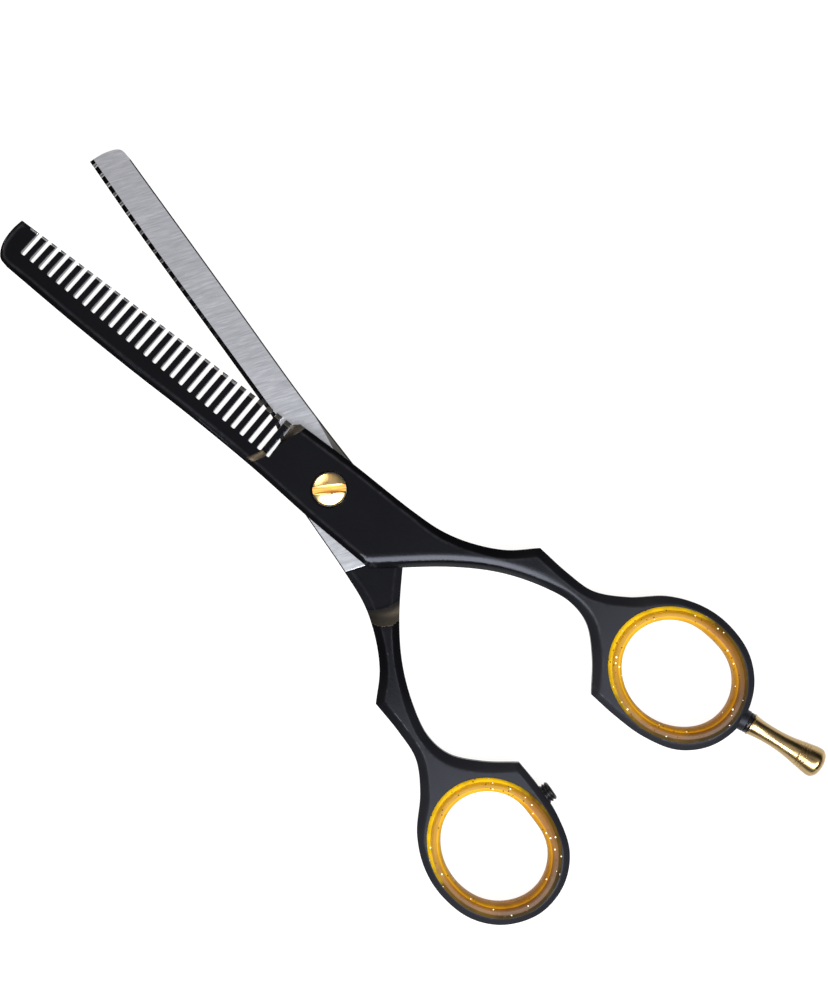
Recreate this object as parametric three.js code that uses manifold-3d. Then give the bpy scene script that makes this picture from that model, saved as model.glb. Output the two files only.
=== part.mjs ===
// Thinning shears: a comb half over a plain half on one pivot screw. Millimetres, +Z up.
// Origin on the pivot axis at the back face; +X towards the blade tips, midway between the
// halves at rest; the finger ring is on the -Y side, the thumb ring on the +Y side.
import * as THREE from "three";
import { mergeVertices } from "three/addons/utils/BufferGeometryUtils.js";
import Module from "manifold-3d";

const wasm = await Module();
wasm.setup();

// ---- driving dimensions -------------------------------------------------------------------
const OPEN_DEG = 15; // between the halves at rest; 0 is closed on the bumper
const STACK = 6.2; // both halves together, at the screw
const RIDE = 3.25; // height of a half's ride face, seen with its outer face up
const BLADE_THINNING = 0.9; // the outer face falls by this from body to tip
const HANDLE_DROP = 0.8; // the outer face falls by this from body to ring
const BEVEL = [1.1, 0.9]; // edge bevel: across, down
const MID = STACK / 2; // height of the rings' middle plane
const RING_HALF = MID - HANDLE_DROP; // half the thickness of shank and ring
const RING = { x: -74.8, y: -14.75, a: 12.9, squash: 0.877 }; // hole in the metal ring
const BEND = 0.45; // finger ring out, thumb ring in, degrees about the shank's root
const ROOT_X = -16;

const TEETH = { slots: 29, first: 13.35, pitch: 2.19, width: 0.94, bottom: 2.75, lean: 2 };
const SCREW = { head: 3.25, shank: 2.0, thread: 0.12, slotWidth: 1.35, slotDepth: 0.85, slotTurn: 53 };
const HEAD_Z = 5.3; // underside of the screw head
const BORE = { seat: 3.6, seatZ: 4.9, bush: 2.9, tapped: 2.12, washer: 4.7, washerZ: 0.25 };
const REST = { x: -91.8, y: -16.8, turn: 8.7, bore: 1.1 }; // finger rest, on the finger ring
const BUMPER = { x: -72.4, y: -0.56, r: 1.95, stem: 0.9 };
const RAMP = { x: -23.9, r: 5.2, slant: 0.4 }; // where the ride face runs out into the shank

// ---- helpers ------------------------------------------------------------------------------
const deg = THREE.MathUtils.degToRad;
const vec = ([x, y]) => new THREE.Vector2(x, y);

// A curve through the points, as a list of n + 1 points.
function through(points, n) {
  const knots = points.map(([x, y]) => new THREE.Vector3(x, y, 0));
  const curve = new THREE.CatmullRomCurve3(knots, false, "centripetal");
  return curve.getPoints(n).map((p) => [p.x, p.y]);
}

function solid(geometry) {
  const g = geometry.clone();
  g.deleteAttribute("normal");
  g.deleteAttribute("uv");
  const m = mergeVertices(g, 1e-4);
  return new wasm.Manifold(
    new wasm.Mesh({
      numProp: 3,
      vertProperties: m.attributes.position.array,
      triVerts: new Uint32Array(m.index.array),
    }),
  );
}

function geometryOf(body) {
  const m = body.getMesh();
  return new THREE.BufferGeometry()
    .setAttribute("position", new THREE.BufferAttribute(m.vertProperties, 3))
    .setIndex(new THREE.BufferAttribute(m.triVerts, 1));
}

// The outline as a plate from z0 to z1; bevel = [across, down] on both faces.
function plate(outline, z0, z1, bevel) {
  const [size, thickness] = bevel || [0, 0];
  return new THREE.ExtrudeGeometry(new THREE.Shape(outline.map(vec)), {
    depth: z1 - z0 - 2 * thickness,
    bevelEnabled: Boolean(bevel),
    bevelSize: size,
    bevelOffset: -size,
    bevelThickness: thickness,
    bevelSegments: 1,
  }).translate(0, 0, z0 + thickness);
}

// A side view [x, z] swept along Y, or a cross-section [y, z] swept along X.
function alongY(profile, y0, y1) {
  return plate(profile, -y1, -y0).rotateX(Math.PI / 2);
}
function alongX(profile, x0, x1) {
  const axes = [new THREE.Vector3(0, 1, 0), new THREE.Vector3(0, 0, 1), new THREE.Vector3(1, 0, 0)];
  return plate(profile, x0, x1).applyMatrix4(new THREE.Matrix4().makeBasis(...axes));
}

// Turned about Z: profile [radius, z], open ones start and end on the axis.
function turned(profile, segments = 40) {
  return new THREE.LatheGeometry(profile.map(vec), segments).rotateX(Math.PI / 2);
}
function ringOf(r0, r1, z0, z1, segments) {
  return turned([[r0, z0], [r1, z0], [r1, z1], [r0, z1], [r0, z0]], segments);
}
function rod(r, z0, z1, segments = 40) {
  return new THREE.CylinderGeometry(r, r, z1 - z0, segments)
    .rotateX(Math.PI / 2)
    .translate(0, 0, (z0 + z1) / 2);
}

// ---- the halves -----------------------------------------------------------------------------
// A half is drawn closed, with its outer face up: blade towards +X, ring on the -Y side.
// The rear half is the same drawing turned over about X.
const SHANK_OUT = [[12.4, -6.1], [0, -6.7], [-15, -7], [-22, -7.6], [-28, -9.4], [-34, -12.6],
  [-38.8, -17]];
const RING_OUT = [[-38.8, -17], [-46, -16.6], [-52, -17], [-58, -20.3], [-64, -25.4],
  [-70, -28], [-76, -28.5], [-83, -26.6], [-88, -22], [-90.3, -15], [-88.6, -8.2],
  [-84, -3.4], [-77, -1.2], [-70, -0.9], [-64.4, -1.2]];
const SHANK_IN = [[-64.4, -1.2], [-60, -6.9], [-55, -11.3], [-50, -12.5], [-44, -11.5],
  [-36, -8.5], [-28, -3.5], [-15.7, 6.9]];

const COMB_SPINE = [[-15.7, 6.9], [0, 6.75], [14, 6.2], [30, 6.2], [45, 6.6], [60, 6.7],
  [75.5, 6.5]];
const COMB_TIP = [[75.5, 6.5], [77.6, 5.9], [79, 3.5], [79.3, 0], [79, -2.3]];
const COMB_EDGE = [[79, -2.3], [60, -3.2], [40, -4.1], [24, -4.75], [13.1, -5.1]];

const SHOULDER = [[10.7, -9], [11.3, -5.4], [12, -3.4], [12.75, -0.8], [13, 1], [13.6, 3], [14.9, 5.6]];

const PLAIN_SPINE = [[-15.7, 6.9], [0, 6.6], [10, 6.2], [20, 5.95], [45, 5.9], [75, 5.7]];
const PLAIN_TIP = [[75, 5.7], [77.3, 5.2], [78.5, 2.6], [78.9, -1]];
const PLAIN_EDGE = [[78.9, -1], [60, -1.25], [40, -1.1], [18, -0.9]];
const PLAIN_HEEL = [[18, -0.9], [13.5, -2.2], [9.5, -5.2], [4, -6.5]];

// The finger ring is bent a little further out than the thumb ring.
function bent(points, angle) {
  const c = Math.cos(deg(angle));
  const s = Math.sin(deg(angle));
  return points.map(([x, y]) => {
    if (x > ROOT_X) return [x, y];
    return [ROOT_X + (x - ROOT_X) * c - y * s, (x - ROOT_X) * s + y * c];
  });
}
const handle = (shankOut, angle) => [
  ...bent(through(shankOut, 22), angle).slice(0, -1),
  ...bent(through(RING_OUT, 56), angle).slice(0, -1),
  ...bent(through(SHANK_IN, 28), angle).slice(0, -1),
];

// The blank: the outline bevelled all round, its outer face falling towards tip and ring,
// hollowed below the ride face, with a round ramp set askew where the shank begins.
function blank(outline) {
  const g = plate(outline, MID - RING_HALF, STACK, BEVEL);
  const p = g.attributes.position;
  for (let i = 0; i < p.count; i++) {
    if (p.getZ(i) < MID) continue;
    const toTip = THREE.MathUtils.clamp((p.getX(i) - 15) / 64, 0, 1);
    const toRing = THREE.MathUtils.smoothstep(-p.getX(i), 14, 42);
    p.setZ(i, p.getZ(i) - BLADE_THINNING * toTip - HANDLE_DROP * toRing);
  }
  const ramp = [];
  for (let a = 0; a <= 70; a += 10)
    ramp.push([RAMP.x - RAMP.r * Math.sin(deg(a)), RIDE - RAMP.r * (1 - Math.cos(deg(a)))]);
  const under = alongY([...ramp, [ramp.at(-1)[0], -4], [90, -4], [90, RIDE]].reverse(), -40, 20);
  const askew = new THREE.Matrix4().makeShear(0, 0, -RAMP.slant, 0, 0, 0);
  under.translate(0, 5.5, 0).applyMatrix4(askew).translate(0, -5.5, 0);
  return solid(g).subtract(solid(under));
}

function ringHole(angle) {
  const [[x, y]] = bent([[RING.x, RING.y]], angle);
  const g = rod(RING.a, -2, STACK + 2, 56).scale(1, RING.squash, 1);
  return { x, y, cut: solid(g.translate(x, y, 0)) };
}

function combHalf(hole) {
  const outline = [
    ...handle(SHANK_OUT, BEND),
    ...through(COMB_SPINE, 10).slice(0, -1),
    ...through(COMB_TIP, 8).slice(0, -1),
    ...through(COMB_EDGE, 6),
  ];
  let body = blank(outline).subtract(hole.cut);

  // Toothed section: ground down to a slope that thins towards the tooth tips.
  const shoulder = through(SHOULDER, 10);
  const section = plate([...shoulder, [90, 5.6], [90, -9]].reverse(), RIDE, STACK + 1);
  const slope = alongX([[5.6, 5.75], [5.6, 9], [-9, 9], [-9, 4.1]], 0, 90);
  body = body.subtract(solid(section).intersect(solid(slope)));

  // Slots, open at the tooth tips and square with round corners at the bottom.
  const r = TEETH.width / 2;
  const bow = (c) => r * Math.sign(c) * Math.abs(c) ** 0.55;
  const arc = [0, 20, 45, 90, 135, 160, 180].map((a) => [bow(Math.cos(deg(a))), bow(Math.sin(deg(a)))]);
  const slot = plate([[-r, -12], [r, -12], ...arc], RIDE - 1, STACK + 1);
  for (let i = 0; i < TEETH.slots; i++) {
    const g = slot.clone();
    if (i === 0) g.scale(0.8, 1, 1);
    g.rotateZ(-deg((TEETH.lean * i) / TEETH.slots));
    g.translate(TEETH.first + TEETH.pitch * i, TEETH.bottom - r, 0);
    body = body.subtract(solid(g));
  }

  // Pivot: seat for the screw head, bore for the bush. Boss and hole for the finger rest.
  body = body.subtract(solid(rod(BORE.seat, BORE.seatZ, 9))).subtract(solid(rod(BORE.bush, 0, 9)));
  body = body.add(solid(toRest(rod(2.15, -3.1, -0.8, 24))).subtract(hole.cut));
  return body.subtract(solid(toRest(rod(REST.bore, -3.6, 1, 20))));
}

function plainHalf(hole) {
  const outline = [
    ...handle([[4, -6.5], ...SHANK_OUT.slice(1)], -BEND),
    ...through(PLAIN_SPINE, 10).slice(0, -1),
    ...through(PLAIN_TIP, 7).slice(0, -1),
    ...through(PLAIN_EDGE, 5).slice(0, -1),
    ...through(PLAIN_HEEL, 8).slice(0, -1),
  ];
  let body = blank(outline).subtract(hole.cut);
  // Cutting bevel from the outer face down to a narrow land at the edge.
  const bevel = alongX([[2.6, 6.5], [-8, 6.5], [-8, 3.0], [-1.3, 3.45]].reverse(), 14.5, 90);
  body = body.subtract(solid(bevel));
  body = body.subtract(solid(rod(BORE.tapped, 0, 9)));
  body = body.subtract(solid(rod(BORE.washer, RIDE - 1, RIDE + BORE.washerZ)));
  body = body.subtract(solid(onRing(rod(BUMPER.r + 0.15, -0.08, 3, 24))));
  return body.subtract(solid(onRing(rod(BUMPER.stem + 0.1, -2, 3, 16))));
}

// ---- fittings -------------------------------------------------------------------------------
// Channel-shaped insert: two flanges over the ring's faces, and a web through its hole.
function insert(hole) {
  const half = MID - 0.05;
  const lip = RING_HALF + 0.15;
  const web = RING.a - 0.15;
  const profile = [
    [11.2, -2.3], [11.7, -half], [13.8, -half], [14.25, -2.75], [14.25, -lip], [web, -lip],
    [web, lip], [14.25, lip], [14.25, 2.75], [13.8, half], [11.7, half], [11.2, 2.3],
    [11.2, -2.3],
  ];
  return turned(profile, 56).scale(1, RING.squash, 1).translate(hole.x, hole.y, MID);
}

// From the finger rest's own axis (+Z away from the ring) to its place on the ring.
function toRest(g) {
  return g
    .rotateY(-Math.PI / 2)
    .rotateZ(deg(REST.turn))
    .translate(REST.x, REST.y, MID);
}

function fingerRest() {
  const flare = through([[2.07, 0], [1.84, 2.2], [1.76, 4.4], [1.82, 6.6], [2.05, 8.8], [2.4, 10.6]], 8);
  const grooves = [10.9, 11.5, 12.1].flatMap((z) => [
    [2.4 + (z - 10.6) * 0.17, z], [2.32 + (z - 10.6) * 0.17, z + 0.12],
    [2.44 + (z - 10.6) * 0.17, z + 0.24],
  ]);
  const end = through([[2.78, 12.8], [3.0, 14.1], [2.9, 14.9], [2.2, 15.7], [1.0, 16.15], [0, 16.25]], 8);
  const profile = [[REST.bore, 0], ...flare, ...grooves, ...end, [0, 7], [REST.bore, 6.4], [REST.bore, 0]];
  return turned(profile, 36);
}

function screw() {
  const turns = [];
  for (let z = 0.35; z < 2.4; z += 0.5)
    turns.push([SCREW.shank, z], [SCREW.shank - SCREW.thread, z + 0.25]);
  const dome = through([[SCREW.head, 6.15], [3.0, 6.45], [2.2, 6.72], [1.1, 6.88], [0, 6.92]], 6);
  const profile = [
    [0, 0], [1.8, 0], ...turns, [SCREW.shank, 2.6], [SCREW.shank, HEAD_Z],
    [SCREW.head, HEAD_Z], ...dome,
  ];
  const slot = new THREE.BoxGeometry(9, SCREW.slotWidth, 4)
    .translate(0, 0, 6.92 - SCREW.slotDepth + 2)
    .rotateZ(deg(SCREW.slotTurn));
  return geometryOf(solid(turned(profile, 48)).subtract(solid(slot)));
}

// From the bumper's own axis (+Z out of the ring's flat) to its place on the thumb ring.
function onRing(g) {
  return g.rotateX(-Math.PI / 2).translate(BUMPER.x, BUMPER.y, MID);
}

// Ribbed rubber stud that stands out of the thumb ring's flat towards the finger ring.
function bumper() {
  const ribs = [0, 0.6, 1.2].flatMap((z) => [
    [BUMPER.r, z], [BUMPER.r, z + 0.36], [BUMPER.r - 0.15, z + 0.44], [BUMPER.r - 0.15, z + 0.56],
  ]);
  const profile = [[0, 0], ...ribs.slice(0, -2), [BUMPER.r - 0.3, 1.8], [0, 1.86]];
  const head = solid(turned(profile, 30));
  return geometryOf(head.add(solid(rod(BUMPER.stem, -1.9, 0.6, 16))));
}

// ---- assembly -------------------------------------------------------------------------------
const group = new THREE.Group();
const front = new THREE.Group();
const rear = new THREE.Group();
front.rotation.z = deg(OPEN_DEG / 2);
rear.rotation.set(Math.PI, 0, -deg(OPEN_DEG / 2), "ZYX");
rear.position.z = STACK;
group.add(front, rear);

const COATING = { color: 0x2b2c33, roughness: 0.38, metalness: 0.6 };
const GOLD = { color: 0xd9a93c, roughness: 0.2, metalness: 1.0 };
const AMBER = { color: 0xe59a12, roughness: 0.25, metalness: 0.0 };
const STEEL = { color: 0xb9bbbf, roughness: 0.3, metalness: 1.0 };
const NYLON = { color: 0xe8e6de, roughness: 0.5, metalness: 0.0 };
const RUBBER = { color: 0x17181a, roughness: 0.55, metalness: 0.0 };

function put(parent, name, geometry, finish) {
  const mesh = new THREE.Mesh(geometry, new THREE.MeshStandardMaterial(finish));
  mesh.name = name;
  parent.add(mesh);
}

const fingerHole = ringHole(BEND);
const thumbHole = ringHole(-BEND);
put(front, "comb_half", geometryOf(combHalf(fingerHole)), COATING);
put(front, "finger_insert", insert(fingerHole), AMBER);
put(front, "finger_rest", toRest(fingerRest()), GOLD);
put(front, "rest_washer", toRest(ringOf(REST.bore + 0.1, 2.1, -0.72, -0.08, 24)), RUBBER);
put(front, "rest_stud", toRest(rod(REST.bore - 0.1, -3.4, 6.3, 16)), STEEL);
put(rear, "thumb_insert", insert(thumbHole), AMBER);
put(rear, "plain_half", geometryOf(plainHalf(thumbHole)), STEEL);
put(rear, "bumper", onRing(bumper()), RUBBER);
put(group, "pivot_screw", screw(), GOLD);
put(group, "pivot_bush", ringOf(2.15, 2.8, RIDE + 0.05, BORE.seatZ - 0.05, 32), NYLON);
put(group, "head_washer", ringOf(2.2, 3.3, BORE.seatZ + 0.05, HEAD_Z - 0.05, 36), STEEL);
put(group, "glide_washer", ringOf(2.2, 4.5, MID - 0.36, MID + 0.1, 40), NYLON);

export default group;
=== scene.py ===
import math

import bpy
import numpy as np
from mathutils import Matrix, Vector
from mathutils.geometry import delaunay_2d_cdt


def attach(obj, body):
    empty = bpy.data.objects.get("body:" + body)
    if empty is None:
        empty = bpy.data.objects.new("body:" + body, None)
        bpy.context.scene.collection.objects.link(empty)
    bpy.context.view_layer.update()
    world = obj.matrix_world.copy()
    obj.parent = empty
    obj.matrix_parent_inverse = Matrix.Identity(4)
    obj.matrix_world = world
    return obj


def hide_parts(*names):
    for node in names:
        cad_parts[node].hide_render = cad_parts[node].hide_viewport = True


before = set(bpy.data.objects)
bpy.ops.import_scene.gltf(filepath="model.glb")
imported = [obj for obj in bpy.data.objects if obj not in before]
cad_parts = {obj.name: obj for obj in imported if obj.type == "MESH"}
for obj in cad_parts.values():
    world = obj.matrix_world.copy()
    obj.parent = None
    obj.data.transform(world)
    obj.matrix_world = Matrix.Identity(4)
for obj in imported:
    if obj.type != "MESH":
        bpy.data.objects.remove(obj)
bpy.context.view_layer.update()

# ---- sizes, mm: the main ones are the CAD's ------------------------------------------------
MM = 0.001  # in metres
OPEN = 15.0  # degrees between the halves at rest
STACK = 6.2  # both halves together, at the screw
MID = STACK / 2  # height of the rings' middle plane
RIDE = 3.25  # height of a half's ride face, seen with its outer face up
THINNING = 0.9  # the outer face falls by this from body to tip
HANDLE_DROP = 0.8  # and by this from body to ring
RING_HALF = MID - HANDLE_DROP  # half the thickness of shank and ring
RING = (-74.8, -14.75)  # centre of the hole in the metal ring
RING_A, SQUASH = 12.9, 0.877  # its half length, and its width as a share of its length
BEND = 0.45  # the finger ring is bent out and the thumb ring in by so many degrees,
ROOT_X = -16.0  # about the shank's root
RAMP_X, RAMP_R = -23.9, 5.2  # end of the ride face, and radius of the ramp behind it
SLOTS, PITCH, LEAN = 29, 2.19, 2.0  # LEAN is the last slot's, in degrees
SLOT_0, SLOT_W, SLOT_END = 13.35, 0.94, 2.75  # the first slot, a slot's width, its closed end
FIRST_SQUEEZE, FIRST_TAPER = 0.8, 0.5  # the first slot is narrower, and widens towards its foot
FIRST_WALL, FIRST_END, FIRST_LENGTH = 12.98, 2.3, 7.3  # its wall on the body's side: x, end, length
TEETH_Z, TEETH_SLOPE, TEETH_THINNING = 5.75, 1.65 / 14.6, 0.35  # the teeth's face, and how it falls
BLADE_ROOT, BLADE_TIP = 13.6, 76.7  # the teeth's ground facets lie between them
SHOULDER_TOP = 5.4  # the shoulder stops here, short of the spine
RIDE_BACK, RIDE_SLANT = -16.95, 0.32  # the ride face is bare metal up to this slanting line
GROOVE = [(-0.14, 0), (0, 0.012), (0.05, 0.15), (0.2, 0.15), (0.27, 0)]  # (way past the line, depth)
HONE_W, LIP = 0.85, 0.21  # widths of the plain half's honed strip, and of its ride face's fine bevel
BEVEL_Z, BEVEL_SLOPE = 3.6, 0.82  # the plain blade's cutting bevel: height at the edge, and rise
SEAT_R, SEAT_Z = 3.6, 4.9  # seat of the screw head
FRONT_BORE, REAR_BORE = 2.9, 2.12
POCKET_R, POCKET_DEPTH = 4.7, 0.25  # room for the glide washer in the plain half's ride face
REST_X, REST_Y, REST_TURN = -91.8, -16.8, 8.7
BUMPER_X, BUMPER_Y = -72.4, -0.56
SCREW_R, SCREW_TOP = 3.25, 6.92
DRIVE_HALF, DRIVE_BEVEL, DRIVE_FLOOR, DRIVE_TURN = 0.675, 0.12, 6.0, 53  # the slot in its head
MARK_PITCH = 2.25  # of the marks that the teeth leave on the plain blade

# the camera: the picture's centre, along the picture's sides from the pivot, the length that its
# height covers there, and the azimuth of its right-hand side
LENS, SENSOR = 85.0, 36.0
VIEW_X, VIEW_Y, VIEW_Z, VIEW_HEIGHT, VIEW_TURN = 16.328, -2.721, 5.5, 194.351, 227

SHANK_OUT = [(12.4, -6.1), (0, -6.7), (-15, -7), (-22, -7.6), (-28, -9.4), (-34, -12.6), (-38.8, -17)]
RING_OUT = [
    (-38.8, -17), (-46, -16.6), (-52, -17), (-58, -20.3), (-64, -25.4), (-70, -28), (-76, -28.5),
    (-83, -26.6), (-88, -22), (-90.3, -15), (-88.6, -8.2), (-84, -3.4), (-77, -1.2), (-70, -0.9),
    (-64.4, -1.2),
]
SHANK_IN = [
    (-64.4, -1.2), (-60, -6.9), (-55, -11.3), (-50, -12.5), (-44, -11.5), (-36, -8.5), (-28, -3.5),
    (-15.7, 6.9),
]
COMB_SPINE = [(-15.7, 6.9), (0, 6.75), (14, 6.2), (30, 6.2), (45, 6.6), (60, 6.7), (75.5, 6.5)]
COMB_TIP = [(75.5, 6.5), (77.6, 5.9), (79, 3.5), (79.3, 0), (79, -2.3)]
COMB_EDGE = [(79, -2.3), (60, -3.2), (40, -4.1), (24, -4.75), (12.97, -5.1)]
SHOULDER = [(10.7, -9), (11.3, -5.4), (12.0, -3.4), (12.75, -0.8), (13.0, 1), (13.6, 3), (14.9, 5.6)]
PLAIN_SPINE = [(-15.7, 6.9), (0, 6.6), (10, 6.2), (20, 5.95), (45, 5.9), (75, 5.7)]
PLAIN_TIP = [(75, 5.7), (77.3, 5.2), (78.5, 2.6), (78.9, -1)]
PLAIN_EDGE = [(78.9, -1), (60, -1.25), (40, -1.1), (18, -0.9)]
PLAIN_HEEL = [(18, -0.9), (13.5, -2.2), (9.5, -5.2), (4, -6.5)]
PLAIN_SHANK = [PLAIN_HEEL[-1], *SHANK_OUT[1:]]
RELIEF = [(14.5, 6.03), (9, 5.5), (2, 4.6), (-4, 4.2)]  # edge of the plain half's ground relief


# ---- curves --------------------------------------------------------------------------------
def through(points, step):
    """Points about step apart on a centripetal Catmull-Rom curve through the given ones."""
    p = [np.array(q, float) for q in points]
    p = [2 * p[0] - p[1], *p, 2 * p[-1] - p[-2]]
    out = []
    for i in range(1, len(p) - 2):
        a, b, c, d = p[i - 1 : i + 3]
        t0, t1, t2 = (max(np.linalg.norm(v) ** 0.5, 1e-4) for v in (b - a, c - b, d - c))
        m1 = ((b - a) / t0 - (c - a) / (t0 + t1) + (c - b) / t1) * t1
        m2 = ((c - b) / t1 - (d - b) / (t1 + t2) + (d - c) / t2) * t1
        n = max(1, math.ceil(np.linalg.norm(c - b) / step))
        for k in range(n):
            t = k / n
            h = (2 * t**3 - 3 * t**2 + 1, t**3 - 2 * t**2 + t, 3 * t**2 - 2 * t**3, t**3 - t**2)
            out.append(h[0] * b + h[1] * m1 + h[2] * c + h[3] * m2)
    return np.array([*out, p[-2]])


def straight(a, b, step):
    """Points about step apart from a to b."""
    n = max(1, math.ceil(math.dist(a, b) / step))
    t = np.linspace(0, 1, n + 1)[:, None]
    return np.array(a, float) * (1 - t) + np.array(b, float) * t


def spun(p, degrees):
    """The points turned about the origin."""
    a = math.radians(degrees)
    x, y = p[:, 0], p[:, 1]
    return np.stack([x * math.cos(a) - y * math.sin(a), x * math.sin(a) + y * math.cos(a)], 1)


def bent(p, angle):
    """The points, with those behind the shank's root turned about it."""
    root = (ROOT_X, 0)
    return np.where((p[:, 0] > ROOT_X)[:, None], p, spun(p - root, angle) + root)


def ellipse(cx, cy, a, b, n):
    t = np.arange(n) * 2 * math.pi / n
    return np.stack([cx + a * np.cos(t), cy + b * np.sin(t)], 1)


def circle(r, n):
    return ellipse(0, 0, r, r, n)


def softened(profile, r, n=4):
    """The profile with each corner rounded by about r."""
    p = [np.array(q, float) for q in profile]
    closed = np.allclose(p[0], p[-1])
    out = [] if closed else [p[0]]
    for i in range(0 if closed else 1, len(p) - 1):
        a, b, c = p[i - 1] if i else p[-2], p[i], p[i + 1]
        ra, rc = min(r, np.linalg.norm(b - a) * 0.45), min(r, np.linalg.norm(c - b) * 0.45)
        s = b + (a - b) / np.linalg.norm(a - b) * ra
        e = b + (c - b) / np.linalg.norm(c - b) * rc
        for k in range(n + 1):
            t = k / n
            out.append((1 - t) ** 2 * s + 2 * t * (1 - t) * b + t * t * e)
    out.append(out[0] if closed else p[-1])
    return np.array(out)


def inward(line):
    """Unit normals to the right of a line, which is inwards on an outline that runs clockwise."""
    run = np.gradient(line, axis=0)
    run /= np.linalg.norm(run, axis=1)[:, None] + 1e-12
    return np.stack([run[:, 1], -run[:, 0]], 1)


def segments_of(line):
    return np.c_[line[:-1], line[1:]]


def shut(line):
    return np.concatenate([line, line[:1]])


def y_on(line, x):
    """y at x on a line that runs along X, either way."""
    order = np.argsort(line[:, 0])
    return np.interp(x, *line[order].T)


def x_on(line, y):
    """x at y on a line that runs along Y, either way."""
    return y_on(line[:, ::-1], y)


def smooth(e0, e1, x):
    """0 at e0, 1 at e1, and a smooth step between them."""
    t = np.clip((x - e0) / (e1 - e0), 0, 1)
    return t * t * (3 - 2 * t)


# ---- meshes --------------------------------------------------------------------------------
def shifted(x, y, z):
    """A shift by so many millimetres."""
    return Matrix.Translation((x * MM, y * MM, z * MM))


def turned_by(degrees, axis="Z"):
    return Matrix.Rotation(math.radians(degrees), 4, axis)


def make_object(name, verts, faces, materials, index=None, place=None, sharp=32, wear_and_highlight=None):
    """A smooth-shaded object. verts are in mm; index gives each face's material, sharp the angle of
    a sharp edge in degrees, and the last argument each vertex's share of the coating's painted
    edge highlight, which the coating breaks into patches like wear."""
    mesh = bpy.data.meshes.new(name)
    co = np.asarray(verts, float) * MM
    mesh.from_pydata(co.tolist(), [], [list(map(int, f)) for f in faces])
    for m in materials:
        mesh.materials.append(m)
    if index is not None:
        mesh.polygons.foreach_set("material_index", np.asarray(index, np.int32))
    if place is not None:
        mesh.transform(place)
    if wear_and_highlight is not None:
        values = mesh.attributes.new("wear_and_highlight", "FLOAT", "POINT").data
        values.foreach_set("value", np.asarray(wear_and_highlight, np.float32))
    mesh.validate()
    mesh.polygons.foreach_set("use_smooth", np.ones(len(mesh.polygons), bool))
    mesh.set_sharp_from_angle(angle=math.radians(sharp))
    o = bpy.data.objects.new(name, mesh)
    bpy.context.scene.collection.objects.link(o)
    even = o.modifiers.new("even", "WEIGHTED_NORMAL")
    even.keep_sharp = True
    return o


def turned(profile, n):
    """A profile (radius, z) turned about Z in n steps; closed, or with both ends on the axis."""
    p = np.asarray(profile, float)
    closed = np.allclose(p[0], p[-1])
    if closed:
        p = p[:-1]
    t = np.arange(n) * 2 * math.pi / n
    verts, rows = [], []
    for r, z in p:
        if r < 1e-6:
            rows.append([len(verts)] * n)
            verts.append((0, 0, z))
        else:
            rows.append(list(range(len(verts), len(verts) + n)))
            verts += [(r * math.cos(a), r * math.sin(a), z) for a in t]
    faces = []
    for lo, hi in zip(rows, rows[1:] + rows[:1] if closed else rows[1:]):
        for i in range(n):
            j = (i + 1) % n
            f = [lo[i], lo[j], hi[j], hi[i]]
            f = [v for k, v in enumerate(f) if v != f[k - 1]]
            if len(f) > 2:
                faces.append(f)
    return verts, faces


def joined(*parts):
    """Several (vertices, faces) as one."""
    verts, faces = [], []
    for v, f in parts:
        n = len(verts)
        verts += [tuple(q) for q in v]
        faces += [[i + n for i in g] for g in f]
    return verts, faces


def distance(p, segments):
    """Distance from each point to the nearest of the segments (x0, y0, x1, y1)."""
    a, b = segments[:, :2], segments[:, 2:]
    ab = b - a
    l2 = (ab**2).sum(1) + 1e-12
    out = np.empty(len(p))
    for i in range(0, len(p), 2000):
        q = p[i : i + 2000, None, :]
        t = np.clip(((q - a) * ab).sum(2) / l2, 0, 1)
        out[i : i + 2000] = np.sqrt((((q - a) - t[..., None] * ab) ** 2).sum(2)).min(1)
    return out


def inside(p, loops):
    """Whether each point is inside an odd number of the loops."""
    hit = np.zeros(len(p), bool)
    for loop in loops:
        a, b = loop, np.roll(loop, -1, 0)
        for i in range(0, len(p), 4000):
            x, y = p[i : i + 4000, 0:1], p[i : i + 4000, 1:2]
            cross = (a[:, 1] > y) != (b[:, 1] > y)
            dy = np.where(np.abs(b[:, 1] - a[:, 1]) < 1e-12, 1e-12, b[:, 1] - a[:, 1])
            at = a[:, 0] + (y - a[:, 1]) * (b[:, 0] - a[:, 0]) / dy
            hit[i : i + 4000] ^= (cross & (x < at)).sum(1) % 2 == 1
    return hit


def mesh_plan(loops, creases, points):
    """Triangles inside the first loop and outside the others, as (vertices, triangles). The creases
    are (line, closed), and are kept as edges."""
    verts, edges = [], []
    for line, closed in [(q, True) for q in loops] + creases:
        n = len(verts)
        verts += [tuple(v) for v in line]
        edges += [(n + i, n + i + 1) for i in range(len(line) - 1)]
        if closed:
            edges.append((n + len(line) - 1, n))
    verts += [tuple(v) for v in points]
    points_out, _, faces, *_ = delaunay_2d_cdt([Vector(v) for v in verts], edges, [], 0, 1e-6)
    v = np.array([(q.x, q.y) for q in points_out])
    f = np.array([list(t) for t in faces if len(t) == 3])
    f = f[inside(v[f].mean(1), loops)]
    a, b, c = v[f[:, 0]], v[f[:, 1]], v[f[:, 2]]
    area = (b[:, 0] - a[:, 0]) * (c[:, 1] - a[:, 1]) - (b[:, 1] - a[:, 1]) * (c[:, 0] - a[:, 0])
    f[area < 0] = f[area < 0][:, ::-1]
    f = f[np.abs(area) > 1e-9]
    used = np.unique(f)
    remap = np.full(len(v), -1)
    remap[used] = np.arange(len(used))
    return v[used], remap[f]


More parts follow.
